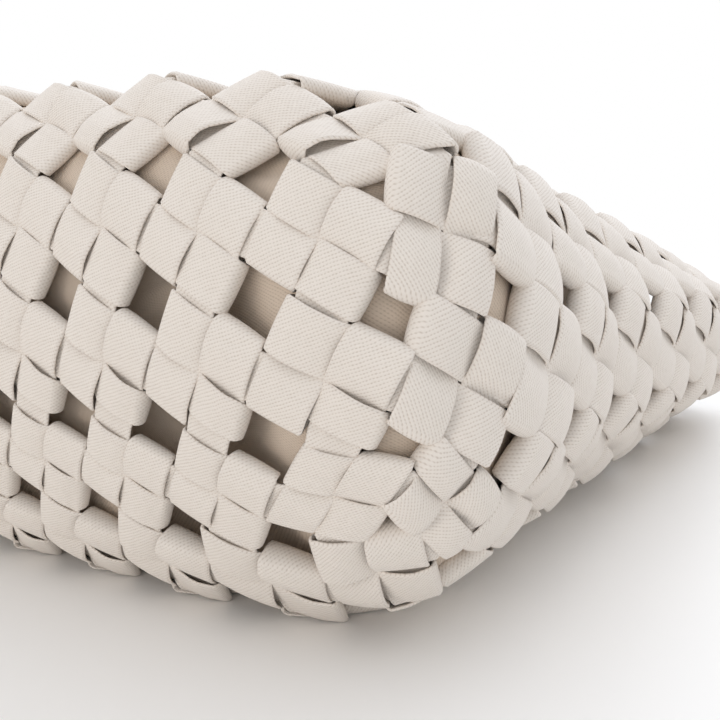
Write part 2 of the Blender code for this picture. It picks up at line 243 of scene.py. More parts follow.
def bottom_point(along, across, inset=0.0):
    """Point of the rounded bottom panel, from knots counted from its middle."""
    flat = max(-FLAT_COLUMNS, min(FLAT_COLUMNS, along))
    turned = (along - flat) / (COLUMNS / 2 - FLAT_COLUMNS) * END_TURN
    side = UPPER_SIDE_TURN if across > 0 else LOWER_SIDE_TURN
    tilt = across / (ROWS / 2) * side
    way = Vector((math.tan(turned), -1, math.tan(tilt))).normalized()
    x = flat * COLUMN_STEP * PITCH + (END_RADIUS * PITCH - inset) * way.x
    y = (BOTTOM_DEPTH * PITCH - inset) * way.y
    z = HALF_THICKNESS * PITCH + (HALF_THICKNESS * PITCH - inset) * way.z
    corner = max(0, abs(along) - COLUMNS / 2 + 1) * max(0, abs(across) - ROWS / 2 + 1)
    z -= corner * (UPPER_CORNER_DROP if across > 0 else -LOWER_CORNER_LIFT) * PITCH
    return Vector((x, y + SHIFT, z + LIFT))


def ring_section(ring):
    """Half flat length, end radius, half thickness and place along the bag of one ring."""
    share = (ring - 1) / (RINGS - 1)
    turn = FIRST_RING_TURN * max(0, 2 - ring)
    half = HALF_THICKNESS * math.cos(turn) * (1 - share) + HALF_THICKNESS_AT_MOUTH * share
    end = END_RADIUS * math.cos(turn) * (1 - share) + END_RADIUS_AT_MOUTH * share
    y = (ring - 1) * RING_STEP - BOTTOM_DEPTH * math.sin(turn)
    steps = np.hypot(np.diff(end * np.cos(QUARTER)), np.diff(half * np.sin(QUARTER)))
    slack = (AROUND - 4 * steps.sum()) / 4
    first = FLAT_COLUMNS * COLUMN_STEP + FIRST_RING_WIDENING
    flat = first + (slack - first) * min(1, (ring - 1) / EASED_RINGS)
    return flat * PITCH, end * PITCH, half * PITCH, y * PITCH + SHIFT


def ring_points(ring, count=AROUND, inset=0.0):
    """Points spaced evenly along a ring, from the middle of the right end round over the top."""
    flat, end, half, y = ring_section(ring)
    x = np.append(flat + (end - inset) * np.cos(QUARTER), 0)
    z = np.append((half - inset) * np.sin(QUARTER), half - inset)
    x = np.concatenate([x, -x[-2::-1], -x[1:], x[-2::-1]])
    z = np.concatenate([z, z[-2::-1], -z[1:], -z[-2::-1]]) + half + LIFT
    run = np.concatenate([[0], np.cumsum(np.hypot(np.diff(x), np.diff(z)))])
    at = (np.arange(count) + 0.5) / count * run[-1]
    return [Vector((a, y, b)) for a, b in zip(np.interp(at, run, x), np.interp(at, run, z))]


bottom = [
    [bottom_point(a - COLUMNS / 2, b - ROWS / 2) for b in range(ROWS + 1)]
    for a in range(COLUMNS + 1)
]
edge = [(COLUMNS, ROWS - 1), (COLUMNS, ROWS)]
edge += [(a, ROWS) for a in range(COLUMNS - 1, -1, -1)]
edge += [(0, b) for b in range(ROWS - 1, -1, -1)]
edge += [(a, 0) for a in range(1, COLUMNS + 1)]
edge += [(COLUMNS, 1)]
rings = [[bottom[a][b] for a, b in edge]] + [ring_points(k) for k in range(1, RINGS + 1)]
print("rings", len(rings), "points in each", len(rings[0]))

# %% [markdown]
# The soft bag settles: its upper corners sag, the upper edge stands higher towards the left, the
# lower edge bulges, and the lower corners and the ends draw in. A simulation could do this, but
# a few moves of the net, read from the photograph, are surer.

# %% Let the soft edges settle
UPPER_CORNER_SAG, UPPER_EDGE_SAG = 7.0 * MM, 4.0 * MM
LOWER_EDGE_BULGE, LOWER_WALL_BULGE = 9.0 * MM, 4.0 * MM
LOWER_CORNER_DRAW, LOWER_CORNER_RISE, END_DRAW = 6.0 * MM, 4.0 * MM, 5.0 * MM
# Rise of the upper edge by column, and its share in each ring.
UPPER_RISE = {2: 5.5 * MM, 3: 2.5 * MM}
RISE_SHARE = {1: 1.0, 2: 1.6, 3: 1.2}
SETTLED_RINGS = 4
settled = [[Vector() for _ in edge] for _ in range(SETTLED_RINGS)]
for at, (column, row) in enumerate(edge):
    end = math.copysign(1, column - COLUMNS / 2)
    if row == ROWS and column in (1, COLUMNS - 1):
        settled[0][at].z = -UPPER_EDGE_SAG
        settled[1][at].z = -UPPER_CORNER_SAG
    elif row == ROWS and column in UPPER_RISE:
        for ring, share in RISE_SHARE.items():
            settled[ring][at].z = share * UPPER_RISE[column]
    elif row == 0 and 1 < column < COLUMNS - 1:
        settled[1][at].y = -LOWER_EDGE_BULGE
        settled[2][at].y = -LOWER_WALL_BULGE
    elif row == 0 and column in (0, COLUMNS):
        settled[1][at].x = -end * LOWER_CORNER_DRAW
        settled[1][at].z = LOWER_CORNER_RISE
    elif 0 < row < ROWS:
        settled[1][at].x = -end * END_DRAW
for points, moves in zip(rings, settled):
    for point, move in zip(points, moves):
        point += move
print("openings settled", sum(move.length > 0 for moves in settled for move in moves))

# %% [markdown]
# The cloth lies a little outside this net. Each opening is moved out along the average direction
# of the blocks round it, so that the knots fill their blocks where the bag bends. A small seeded
# shift keeps the rows from being ruled lines.

# %% Move the net out to the cloth
OUTSET = 2.9 * MM
HAND_SHIFT, HAND_SEED = 0.5 * MM, 7
KEY_DIGITS = 7


def key_of(point):
    """A point as a key that the blocks round it share."""
    return tuple(round(v, KEY_DIGITS) for v in point)


def net_blocks():
    """For every block 1 or -1, as its corner points run seen from outside, and these points."""
    for left, right_line in zip(bottom, bottom[1:]):
        for b in range(ROWS):
            yield 1, (left[b], right_line[b], right_line[b + 1], left[b + 1])
    for low, high in zip(rings, rings[1:]):
        for i in range(AROUND):
            j = (i + 1) % AROUND
            yield -1, (low[i], low[j], high[j], high[i])


facing = {}
for outward, (a, b, c, d) in net_blocks():
    out = outward * (c - a).cross(d - b).normalized()
    for point in (a, b, c, d):
        facing.setdefault(key_of(point), []).append(out)
chance = np.random.default_rng(HAND_SEED)
moved = {}
for key, outs in facing.items():
    mean = sum(outs, Vector()).normalized()
    spread = sum(mean.dot(out) for out in outs) / len(outs)
    drift = Vector(chance.normal(0, HAND_SHIFT, 3).tolist())
    drift -= drift.dot(mean) * mean
    moved[key] = Vector(key) + mean * OUTSET / spread + drift
bottom = [[moved[key_of(point)] for point in line] for line in bottom]
rings = [[moved[key_of(point)] for point in line] for line in rings]
print("openings moved out", len(moved))

# %% [markdown]
# ## Runs of the tapes
#
# Cross tapes run over both panels and the bottom, long tapes over the bottom and both ends, and
# hoops round the walls. Each run is a list of blocks, seen the way the tape goes, so one path
# through a knot serves every tape.

# %% Blocks and the runs of the tapes
# A cell lies at a slant in its block: two fifths of it ahead and one fifth aside.
SLANT_AHEAD, SLANT_ASIDE = 0.4, 0.2


class Block:
    """One knot and the four openings round it, as a tape that runs through sees them."""

    def __init__(self, enter_left, enter_right, leave_left, leave_right):
        self.corners = (enter_left, enter_right, leave_left, leave_right)
        self.enter = (enter_left + enter_right) / 2
        self.leave = (leave_left + leave_right) / 2
        self.middle = (self.enter + self.leave) / 2
        self.ahead = self.leave - self.enter
        self.right = (enter_right + leave_right - enter_left - leave_left) / 2
        self.out = self.right.cross(self.ahead).normalized()
        self.along = SLANT_AHEAD * self.ahead + SLANT_ASIDE * self.right
        self.across = SLANT_AHEAD * self.right - SLANT_ASIDE * self.ahead

    def back(self):
        """The same block, seen by a tape that runs the other way."""
        a, b, c, d = self.corners
        return Block(d, c, b, a)

    def turned(self):
        """The same block, seen by a tape that crosses from the right."""
        a, b, c, d = self.corners
        return Block(b, d, a, c)


def wall_up(ring, place):
    """Block of a wall, for a tape that runs towards the mouth."""
    low, high, after = rings[ring - 1], rings[ring], (place + 1) % AROUND
    return Block(low[after], low[place], high[after], high[place])


def over_bottom(first, blocks, last):
    """A run down one wall, over blocks of the bottom and up the other wall."""
    down = [wall_up(k, first).back() for k in range(RINGS, 0, -1)]
    return down + blocks + [wall_up(k, last) for k in range(1, RINGS + 1)]


def cross_run(c):
    """Blocks of one cross tape, from the upper rim to the lower one."""
    near, far = bottom[c + 1], bottom[c]
    blocks = [Block(near[b + 1], far[b + 1], near[b], far[b]) for b in range(ROWS - 1, -1, -1)]
    return over_bottom(COLUMNS - c, blocks, COLUMNS + ROWS + 1 + c)


def long_run(b):
    """Blocks of one long tape, from the left rim to the right one."""
    blocks = [Block(low[b + 1], low[b], high[b + 1], high[b]) for low, high in zip(bottom, bottom[1:])]
    return over_bottom(COLUMNS + ROWS - b, blocks, (b + 1 - ROWS) % AROUND)


# Of each run: its blocks, whether it closes on itself, and which way its ridges slant.
runs = {f"cross_tape_{c + 1}": (cross_run(c), False, -1) for c in range(COLUMNS)}
runs |= {f"long_tape_{b + 1}": (long_run(b), False, 1) for b in range(ROWS)}
for k in range(1, RINGS + 1):
    runs[f"hoop_tape_{k}"] = ([wall_up(k, i).turned() for i in range(AROUND)], True, 1)
print("tapes", len(runs), "passes", sum(len(run[0]) for run in runs.values()))

# %% [markdown]
# ## Cloth ribbon
#
# Every flat piece of this bag is a ribbon of cloth under a millimetre thick. A flat plane would
# look like paper, so its section has a low crown, rounded edges and a bead at each selvedge.

# %% Section of the ribbon
CLOTH_THICKNESS = 0.85 * MM
CROWN = 0.22 * MM
# Places across the tape are shares of its half width.
ROUND_FROM, ROUND_WIDTH = 0.9, 0.1
SELVEDGE, SELVEDGE_AT, SELVEDGE_WIDTH = 0.10 * MM, 0.93, 0.03
FACE = np.array([-1.0, -0.985, -0.93, -0.86, -0.66, -0.35, 0.0, 0.35, 0.66, 0.86, 0.93, 0.985, 1.0])
BACK = np.array([0.985, 0.6, -0.6, -0.985])


def section(thickness):
    """Place across, height and share of the crown of each point round the ribbon's section."""
    edge_drop = np.clip((np.abs(FACE) - ROUND_FROM) / ROUND_WIDTH, 0, 1) ** 2
    bead = SELVEDGE * np.exp(-((np.abs(FACE) - SELVEDGE_AT) / SELVEDGE_WIDTH) ** 2)
    face = thickness / 2 * (1 - edge_drop) + bead
    across = np.concatenate([FACE, BACK])
    return across, np.concatenate([face, np.full(len(BACK), -thickness / 2)]), 1 - across ** 2


print("ribbon section of", len(FACE) + len(BACK), "points")

# %% [markdown]
# Where the bag rests, its lower front edge rolls under and the cloth lies flat on the table. All
# ribbons are bent there in the same way, so that neighbouring tapes stay together.

# %% Rest the cloth on the table
TABLE_TOUCH, TABLE_SOFT = 0.05 * MM, 0.40 * MM
ROLL_HEIGHT, ROLL_BACK, ROLL_LENGTH = 24 * MM, 8.5 * MM, 45 * MM
ROLL_FROM = bottom[COLUMNS // 2][0].y
ROLL_TO = ROLL_FROM + ROLL_LENGTH


def rest_on_table(points):
    """Rolls the lower front edge under, and keeps all cloth above the table."""
    low = np.clip((ROLL_HEIGHT - points[..., 2]) / ROLL_HEIGHT, 0, 1)
    front = np.clip((ROLL_TO - points[..., 1]) / (ROLL_TO - ROLL_FROM), 0, 1)
    points[..., 1] += ROLL_BACK * low ** 2 * front
    points[..., 2] = TABLE_TOUCH + TABLE_SOFT * np.logaddexp(0, (points[..., 2] - TABLE_TOUCH) / TABLE_SOFT)


print(f"edge rolls under between y {ROLL_FROM:.3f} and {ROLL_TO:.3f} m")

# %% [markdown]
# A curve with a bevel could carry the cloth, but it would twist in the folds. One function
# sweeps the section along places with a given width and direction, so the tape keeps its width
# and its UV map in millimetres wherever it turns.

# %% Ribbon of cloth
def ribbon(name, places, halves, outs, closed, material, hand=1, thickness=CLOTH_THICKNESS, crown=CROWN):
    """A ribbon through places, with half widths and outward directions at each."""
    places, halves, outs = (np.array(item, float) for item in (places, halves, outs))
    across, height, dome = section(thickness)
    height = height + np.outer(np.broadcast_to(crown, len(places)), dome)
    points = places[:, None] + across[:, None] * halves[:, None] + height[..., None] * outs[:, None]
    rest_on_table(points)
    count, around = len(places), len(across)
    wide = np.linalg.norm(halves, axis=1)
    step = np.linalg.norm(np.diff(places, axis=0, append=places[:1]), axis=1)
    run = np.concatenate([[0], np.cumsum(step)])
    corners, uv = [], []
    for i in range(count if closed else count - 1):
        j = (i + 1) % count
        for k in range(around):
            m = (k + 1) % around
            corners.append((i * around + k, i * around + m, j * around + m, j * around + k))
            for at, row, side in ((run[i], i, k), (run[i], i, m), (run[i + 1], j, m), (run[i + 1], j, k)):
                uv.append((at / MM, hand * across[side] * wide[row] / MM))
    if not closed:
        last = (count - 1) * around
        corners += [tuple(range(around))[::-1], tuple(range(last, last + around))]
        uv += [(0, 0)] * (2 * around)
    mesh = bpy.data.meshes.new(name)
    mesh.from_pydata(points.reshape(-1, 3).tolist(), [], corners)
    layer = mesh.uv_layers.new(name="tape_mm")
    layer.data.foreach_set("uv", np.array(uv, np.float32).ravel())
    mesh.shade_smooth()
    mesh.materials.append(material)
    shape = bmesh.new()
    shape.from_mesh(mesh)
    bmesh.ops.recalc_face_normals(shape, faces=shape.faces)
    shape.to_mesh(mesh)
    shape.free()
    return add_object(name, mesh)


print("cloth thickness", CLOTH_THICKNESS / MM, "mm")

# %% [markdown]
# ## Tapes in their knots
#
# In each knot a tape dips under its neighbour, rises sharply at the crease, lies on top for one
# cell and folds round behind the block. On the other side it does the same backwards. The sharp
# rise gives the dark crease lines of the plait. Places in a lane count from -1, where the tape
# enters the knot, over 0 at the crease to 1 at the fold.

# %% Heights along a lane
OVER, UNDER = 0.60 * MM, -0.60 * MM
PILLOW, PILLOW_FROM, PILLOW_LENGTH, PILLOW_FULLNESS = 0.45 * MM, 0.02, 1.02, 0.7
FOLD_DROP = 1.10 * MM
RISE_SPAN, DROP_SPAN = (-0.06, 0.24), (0.62, 1.08)


def smooth(value, low, high):
    """A share that eases from 0 at the low limit to 1 at the high one."""
    t = min(1, max(0, (value - low) / (high - low)))
    return t * t * (3 - 2 * t)


def lane_height(at, lift):
    """Height of a tape in a lane: under its neighbour up to the crease, then over it."""
    rise = smooth(at, *RISE_SPAN)
    arch = math.sin(math.pi * min(1, max(0, (at - PILLOW_FROM) / PILLOW_LENGTH)))
    pillow = lift * arch ** PILLOW_FULLNESS
    return UNDER + (OVER - UNDER) * rise + pillow - FOLD_DROP * smooth(at, *DROP_SPAN)


print("a tape rises", round((lane_height(0.5, PILLOW) - UNDER) / MM, 2), "mm at the crease")

# %% [markdown]
# Lane and fold serve both halves of a knot, mirrored for the second. Near the next knot the tape
# turns to face as that one does. Its inner selvedge may stand off by a gap, which shows as a lip.

# %% Lane and fold of one cell
LANE = [-1.0, -0.8, -0.55, -0.32, -0.16, -0.07, 0.0, 0.07, 0.15, 0.27, 0.42, 0.58, 0.74, 0.88, 0.96, 1.0]
FOLD = [0.17, 0.34, 0.5, 0.66, 0.83]
CELL_FILL = 0.985
HALF = 0.5 * CELL_FILL
NEAR_SPAN, FREE_SPAN = (-1.0, -0.25), (-0.9, -0.2)
GAPE_SPAN, TIP_SPAN, PUFF_SPAN = (0.05, 0.8), (0.0, 0.3), (0.05, 0.4)
TUCK_DRAW, FOLD_DRAW = 0.10, 0.12
FOLD_BULGE, GAPE_CLOSED = 0.085, 0.7


def lane_places(block, beside, side, fold, fill, narrow, slip, swell, tip, loose):
    """The tape from where it enters the knot to its fold."""
    joined_out = block.out if beside is None else (block.out + beside.out).normalized()
    joined_width = block.across if beside is None else (block.across + beside.across) / 2
    lane = []
    for at in LANE:
        near = 1 - smooth(at, *NEAR_SPAN)
        out = block.out.lerp(joined_out, near).normalized()
        wide = block.across.lerp(joined_width, near)
        free = smooth(at, *FREE_SPAN)
        tuck = (1 - TUCK_DRAW * near) * (1 + (narrow - 1) * free)
        spot = block.middle + fold - side * (1 - at) * (0.5 * (1 + fill)) * block.along + free * slip
        if at == LANE[0]:
            spot = block.enter if side > 0 else block.leave
        gape = 0.5 * loose * smooth(at, *GAPE_SPAN)
        raised = lane_height(at, swell) + gape
        tilt = tip * smooth(at, *TIP_SPAN) - side * gape
        half = HALF * tuck * wide + tilt * block.out
        lane.append((spot + raised * out, half, out, smooth(at, *PUFF_SPAN)))
    return lane


def fold_places(block, end, side, narrow, high, low, loose):
    """The tape where it folds round behind the block."""
    bend = []
    for part in FOLD:
        angle = math.pi * part
        spot = end + side * FOLD_BULGE * math.sin(angle) * block.along
        gape = 0.5 * loose * max(0, 1 - part / GAPE_CLOSED)
        raised = (high + low) / 2 + (high - low) / 2 * math.cos(angle) + gape
        tilt = -side * gape * block.out
        out = math.cos(angle) * block.out + side * math.sin(angle) * block.along.normalized()
        half = HALF * narrow * (1 - FOLD_DRAW * part) * block.across + tilt
        bend.append((spot + raised * block.out, half, out, 1 - part))
    return bend


print("places in a lane", len(LANE), "and in a fold", len(FOLD))

# %% [markdown]
# A whole knot is a lane, its fold, the stretch behind the block, and the other fold and lane.
# Small seeded differences in gap, place, tilt and fullness keep hand work from looking stamped.

# %% Path of a tape through a knot
BEHIND, FAR_BEHIND = -3.30 * MM, -4.30 * MM
BEHIND_STEPS, BEHIND_HALF = [0.08, 0.3, 0.5, 0.7, 0.92], 0.40
# The fold lies three tenths of a block ahead of its middle and four tenths aside.
FOLD_AHEAD, FOLD_ASIDE = 0.3, 0.4
GAP_SPREAD, PILLOW_SPREAD = (0.6, 1.35), 0.25
SLIP_SPREAD, TIP_SPREAD = 0.22 * MM, 0.16 * MM


def knot_path(block, before, after, far, gap, fill, turned_under, random):
    """(place, half width, outward direction, share of puff) of a tape through its knot."""
    gaps = (gap * random.uniform(*GAP_SPREAD, 2)).tolist()
    shift = random.normal(0, SLIP_SPREAD, 4).tolist()
    tips = random.normal(0, TIP_SPREAD, 2).tolist()
    lift = (PILLOW * (1 + random.normal(0, PILLOW_SPREAD, 2))).tolist()
    low = FAR_BEHIND if far else BEHIND
    cells, ends = [], []
    for k, (side, beside) in enumerate(((1, before), (-1, after))):
        narrow = 1 - turned_under if side > 0 else 1
        fold = fill * (FOLD_AHEAD * block.ahead + FOLD_ASIDE * block.right) * side
        slip = shift[2 * k] * block.along.normalized() + shift[2 * k + 1] * block.across.normalized()
        slip -= (1 - narrow) * HALF * block.across
        end = block.middle + fold + slip
        lane = lane_places(block, beside, side, fold, fill, narrow, slip, lift[k], tips[k], gaps[k])
        cells.append(lane + fold_places(block, end, side, narrow, lane_height(1.0, lift[k]), low, gaps[k]))
        ends.append(end)
    behind = []
    for part in BEHIND_STEPS:
        spot = ends[0].lerp(ends[1], part) + low * block.out
        behind.append((spot, BEHIND_HALF * block.across, -block.out, 0))
    return cells[0] + behind + cells[1][::-1]


print("places in a knot", 2 * (len(LANE) + len(FOLD)) + len(BEHIND_STEPS))

# %% [markdown]
# The plait isn't even. It gapes most where the bag bends from the bottom to the walls. At both
# ends the tapes swell and fill their blocks, and in the middle row of the bottom panel one edge
# is turned under. One function tells how a tape lies in its knot number i.

# %% Where the plait gapes, swells or is turned under
TIGHT, EASY, SLACK, OPEN = 0.4 * MM, 0.8 * MM, 1.5 * MM, 2.3 * MM
GAP_OF_RING = {1: OPEN, 2: SLACK}
FOLD_FILL, END_FILL = 0.93, 1.02
FLAT_PUFF, EDGE_PUFF, END_PUFF = 0.0, 0.5 * MM, 0.9 * MM
TURNED_UNDER, TURNED_UNDER_TAPE = 0.26, f"long_tape_{ROWS // 2 + 1}"
END_WALL = {COLUMNS + ROWS - b for b in range(ROWS)} | {(b + 1 - ROWS) % AROUND for b in range(ROWS)}
LOWER_WALL = range(COLUMNS + ROWS + 1, 2 * COLUMNS + ROWS + 1)


def lie_of(name, i):
    """Whether a tape folds far behind, its gap, fill, share turned under and puff in a knot."""
    kind = name.split("_")[0]
    far, turned_under, at_end = kind == "long", 0.0, False
    if kind == "hoop":
        at_end = i in END_WALL
        gap = EASY if at_end else TIGHT
        if name == "hoop_tape_1" and i in LOWER_WALL:
            gap = SLACK
    elif kind == "long":
        at_end = not RINGS <= i < RINGS + COLUMNS
        gap = EASY if at_end else TIGHT
        if name == TURNED_UNDER_TAPE and not at_end:
            gap, turned_under = SLACK, TURNED_UNDER
    else:
        ring = RINGS - i if i < RINGS else i - RINGS - ROWS + 1
        far = ring > 0
        gap = GAP_OF_RING.get(ring, EASY)
    puff = END_PUFF if at_end else EDGE_PUFF if gap == OPEN else FLAT_PUFF
    return far, gap, END_FILL if at_end else FOLD_FILL, turned_under, puff


print("gaps from", TIGHT / MM, "to", OPEN / MM, "mm")

# %% [markdown]
# Every tape is swept through its blocks. A hoop closes on itself, and the ends of the others
# lean inwards into the rim binding.

# %% Make the tapes
RIM_INSET = 3.4 * MM
# How far the end runs on, and the share of its lean there.
TUCK_STEPS = ((2.2 * MM, 0.35), (7.5 * MM, 1.0))
FIRST_SEED = 100


def tucked_end(end):
    """The last stretch of a tape, inside the rim binding."""
    spot, half, out, _ = end
    sink = OUTSET + RIM_INSET
    return [
        (spot + Vector((0, ahead, 0)) - share * sink * out, half, out, CROWN)
        for ahead, share in TUCK_STEPS
    ]


faces = 0
for number, (name, (blocks, closed, hand)) in enumerate(runs.items()):
    random = np.random.default_rng(FIRST_SEED + number)
    path = []
    for i, block in enumerate(blocks):
        before = blocks[i - 1] if closed or i > 0 else None
        after = blocks[(i + 1) % len(blocks)] if closed or i < len(blocks) - 1 else None
        *lie, puff = lie_of(name, i)
        step = knot_path(block, before, after, *lie, random)
        step = step[:-1] if after else step
        path += [(spot, half, out, CROWN + puff * share) for spot, half, out, share in step]
    if not closed:
        path = tucked_end(path[0])[::-1] + path + tucked_end(path[-1])
    places, halves, outs, crowns = zip(*path)
    made = ribbon(name + "_cloth", places, halves, outs, closed, tape_cloth, hand, crown=crowns)
    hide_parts(name)
    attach(made, "bag")
    faces += len(made.data.polygons)
print("tapes made", len(runs), "faces", faces)

# %% [markdown]
# ## Inner pouch
#
# Inside the plait hangs a loose pouch of soft calico, seen through the openings. It could be
# draped by simulation, but it lies close to the plait all round, so a lofted sheet with folds
# from noise looks the same and always comes out the same. Calico is woven like the tape. Its
# colour is darker and warmer than the calico itself: painted shade, and the warm tint of light
# that bounces between the cloths deep in the openings. This sets it behind the plait.

# %% Calico material
CALICO_DEPTH = 0.08 * MM
# Both colours hold painted shade: they are darker and warmer than the calico itself.
pouch_cloth = canvas("calico_with_painted_shade", "#D6C6B5", "#BBAA98", depth=CALICO_DEPTH)
print("calico made, weave", CALICO_DEPTH / MM, "mm deep")

# %% Loops of the pouch
POUCH_INSET = 5.4 * MM
POUCH_TOP_RING = 4.6
POUCH_AROUND = 160
SMALLEST_LOOP = 0.06
BOTTOM_LOOPS, BEND_LOOPS, WALL_LOOPS = 22, 6, 34
half_long, half_short = COLUMNS / 2, ROWS / 2
turns = np.cumsum([0, half_short, COLUMNS, ROWS, COLUMNS, half_short])
turns_along = (half_long, half_long, -half_long, -half_long, half_long, half_long)
turns_across = (0, half_short, half_short, -half_short, -half_short, 0)


def bottom_loop(share):
    """Loop round the bottom panel, shrunk towards its middle."""
    run = (np.arange(POUCH_AROUND) + 0.5) / POUCH_AROUND * AROUND
    along, across = np.interp(run, turns, turns_along), np.interp(run, turns, turns_across)
    return [bottom_point(a * share, b * share, POUCH_INSET) for a, b in zip(along, across)]


def settle(loop, ring):
    """Moves one loop of the pouch as the plait round it has settled."""
    low = min(int(ring), SETTLED_RINGS - 2)
    share = min(ring, SETTLED_RINGS - 1) - low
    settled_loop = []
    for k, point in enumerate(loop):
        place = (k + 0.5) / POUCH_AROUND * AROUND - 0.5
        i, t = math.floor(place), place % 1
        near = settled[low][i % AROUND].lerp(settled[low][(i + 1) % AROUND], t)
        far = settled[low + 1][i % AROUND].lerp(settled[low + 1][(i + 1) % AROUND], t)
        settled_loop.append(point + near.lerp(far, share))
    return settled_loop


loops = [bottom_loop(share) for share in np.linspace(SMALLEST_LOOP, 1.0, BOTTOM_LOOPS)]
loops[-1] = last_bottom = settle(loops[-1], 0)
first_wall = settle(ring_points(1, POUCH_AROUND, POUCH_INSET), 1)
for share in np.linspace(0, 1, BEND_LOOPS)[1:-1]:
    loops.append([a.lerp(b, share) for a, b in zip(last_bottom, first_wall)])
for ring in np.linspace(1, POUCH_TOP_RING, WALL_LOOPS):
    loops.append(settle(ring_points(ring, POUCH_AROUND, POUCH_INSET), ring))
print("pouch loops", len(loops), "points in each", POUCH_AROUND)

# %% Sheet of the pouch
SMOOTH_ROUNDS, SMOOTH_SHARE = 4, 0.5
shape = bmesh.new()
rows = [[shape.verts.new(point) for point in loop] for loop in loops]
uv_layer = shape.loops.layers.uv.new("tape_mm")
cloth_x = AROUND * PITCH / POUCH_AROUND / MM
cloth_y = 0.0
for low, high in zip(rows, rows[1:]):
    step_y = sum((a.co - b.co).length for a, b in zip(low, high)) / POUCH_AROUND / MM
    for k in range(POUCH_AROUND):
        m = (k + 1) % POUCH_AROUND
        face = shape.faces.new((low[k], low[m], high[m], high[k]))
        for loop, (a, b) in zip(face.loops, ((k, 0), (k + 1, 0), (k + 1, 1), (k, 1))):
            loop[uv_layer].uv = (a * cloth_x, cloth_y + b * step_y)
    cloth_y += step_y
shape.faces.new(rows[0][::-1])
for _ in range(SMOOTH_ROUNDS):
    bmesh.ops.smooth_vert(
        shape, verts=[v for row in rows[:-1] for v in row], factor=SMOOTH_SHARE,
        use_axis_x=True, use_axis_y=True, use_axis_z=True)
bmesh.ops.recalc_face_normals(shape, faces=shape.faces)
shape.normal_update()
print("pouch faces", len(shape.faces), "from middle to top", round(cloth_y), "mm")

# %% [markdown]
# Noise folds the sheet. As the openings in the photograph show, the cloth hangs back at the right
# of the bottom and lies close under the top edge. At both ends it keeps clear of the tapes.

# %% Folds of the pouch
FOLDS = ((30 * MM, 2.2 * MM), (11 * MM, 0.8 * MM))
HANG_AT = (0.0, 30 * MM, 50 * MM, 94 * MM)
HANG_BACK = (0.6 * MM, 1.0 * MM, 6.5 * MM, 0.0)
HANG_FADE = (85 * MM, 115 * MM)
LIE_CLOSE, END_CLEAR = 3.6 * MM, 4.5 * MM
TOP_SPAN, END_SPAN = (100 * MM, 130 * MM), (70 * MM, 110 * MM)
RIGHT_SPAN, RIGHT_SHARE = (55 * MM, 90 * MM), 0.7
POUCH_THICKNESS = 0.5 * MM


def from_shape(name, shape, material):
    """A smooth-shaded object from a bmesh, with its material."""
    mesh = bpy.data.meshes.new(name)
    shape.to_mesh(mesh)
    shape.free()
    mesh.shade_smooth()
    mesh.materials.append(material)
    return add_object(name, mesh)


wall_start = ring_section(1)[3]
wall_span = (wall_start + 10 * MM, wall_start + 50 * MM)
for vert in shape.verts:
    fold = sum(depth * noise.noise(vert.co / size) for size, depth in FOLDS)
    x, y, z = vert.co
    up_wall = smooth(y, *wall_span)
    hangs_back = np.interp(x, HANG_AT, HANG_BACK) * (1 - smooth(z, *HANG_FADE))
    close = max(smooth(z, *TOP_SPAN), RIGHT_SHARE * smooth(x, *RIGHT_SPAN))
    lies_close = LIE_CLOSE * close * (1 - up_wall)
    clears_ends = END_CLEAR * up_wall * smooth(abs(x), *END_SPAN)
    vert.co += vert.normal * (fold - hangs_back + lies_close - clears_ends)
pouch = from_shape("inner_pouch_cloth", shape, pouch_cloth)
shell = pouch.modifiers.new("cloth_thickness", "SOLIDIFY")
shell.thickness = POUCH_THICKNESS
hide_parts("inner_pouch")
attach(pouch, "bag")

# %% [markdown]
# ## Rim binding
#
# A band of canvas is folded over the ends of the tapes at the mouth and sewn through with two
# rows of stitches. They could be drawn in a texture, but seen close they stand out of the cloth,
# so each one is a small bead of thread.

# %% Sewing thread
# Matt spun thread, pale. Its plies show as faint bands of shade about 0.35 mm apart.
TWIST_SCALE, TWIST_UNEVEN = 900.0, 2.0
sewing_thread, tree, shader = new_material("spun_sewing_thread")
place = node(tree, "TexCoord").outputs["Object"]
twist = node(tree, "TexWave", Vector=place, Scale=TWIST_SCALE, Distortion=TWIST_UNEVEN).outputs["Fac"]
ramp = node(tree, "ValToRGB", Fac=twist)
ramp.color_ramp.elements[0].color = linear("#D5CBC0")
ramp.color_ramp.elements[1].color = linear("#EFE9E2")
node(tree, shader, Base_Color=ramp, Roughness=0.7)
print("thread made:", sewing_thread.name)

# %% [markdown]
# The band is a rounded section swept round the mouth. It wavers a little, as hand sewing does.

# %% Section of the rim band
RIM_LOW, RIM_HIGH = 2.4 * MM, 12.7 * MM
RIM_HALF = 2.35 * MM
RIM_EDGE_ROUND, RIM_EDGE_RISE = 0.3 * MM, 0.4 * MM
RIM_SWELL, RIM_SWELL_AT = 0.15 * MM, 0.55
RIM_POINTS, RIM_ROUND_POINTS = 240, 5
RIM_WAVER, WAVER_LENGTH = 0.35 * MM, 25 * MM
edge_line = edge_y + SHIFT
around = ring_points(RINGS, RIM_POINTS, RIM_INSET)
waver = [RIM_WAVER * noise.noise(point / WAVER_LENGTH) for point in around]
profile = [
    (RIM_LOW, RIM_HALF - RIM_EDGE_ROUND),
    (RIM_LOW + RIM_EDGE_RISE, RIM_HALF),
    (RIM_SWELL_AT * RIM_HIGH, RIM_HALF + RIM_SWELL),
]
for angle in np.linspace(0, math.pi / 2, RIM_ROUND_POINTS):
    profile.append((RIM_HIGH - RIM_HALF + RIM_HALF * math.sin(angle), RIM_HALF * math.cos(angle)))
profile += [(y, -out) for y, out in profile[-2::-1]]
print("rim section of", len(profile), "points")

